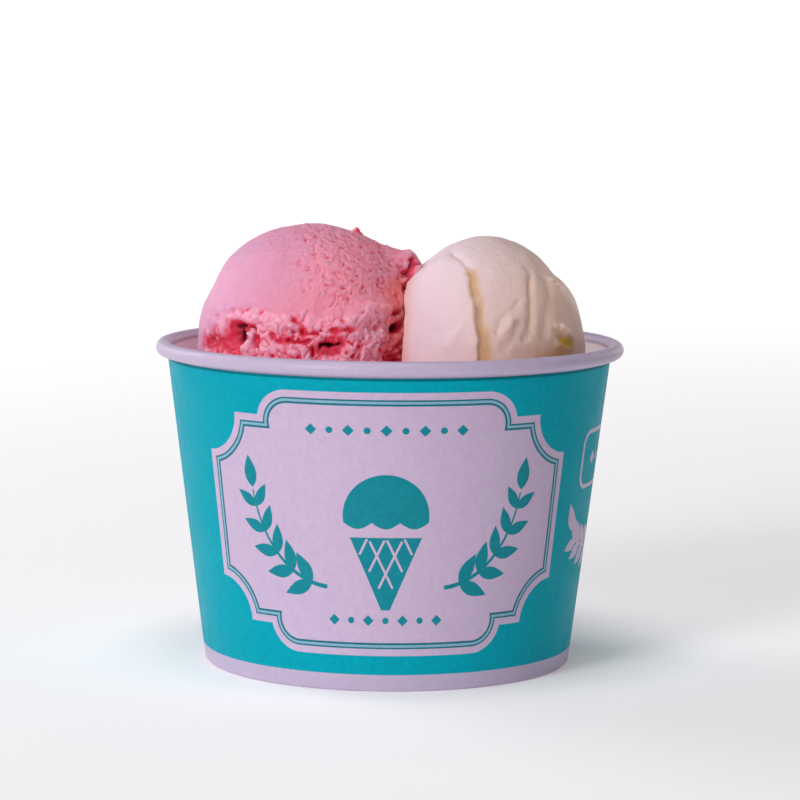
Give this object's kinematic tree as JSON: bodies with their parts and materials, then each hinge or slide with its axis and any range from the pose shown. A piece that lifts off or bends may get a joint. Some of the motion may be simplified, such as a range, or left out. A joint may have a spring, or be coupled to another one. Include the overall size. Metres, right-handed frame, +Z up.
{
  "type": "gelato cup",
  "caption": "Paper cup with a rolled rim, tapered wall and recessed base, filled with strawberry and vanilla gelato that rises above the rim as two round scoops.",
  "frame": {"origin": "centre of the cup's base, on the surface it stands on", "axes": "+Z up along the cup's axis; -Y is the front, which carries the printed plaque; +X is the right, the vanilla side"},
  "size_m": [0.095, 0.095, 0.089],
  "materials": {
    "cup_board": "satin",
    "bottom_board": "matte",
    "print_ink": "satin",
    "strawberry_gelato": "satin",
    "vanilla_gelato": "satin"
  },
  "bodies": {
    "root": {"cup_wall": "cup_board", "cup_bottom": "bottom_board", "strawberry_gelato": "strawberry_gelato", "vanilla_gelato": "vanilla_gelato"}
  },
  "joints": []
}
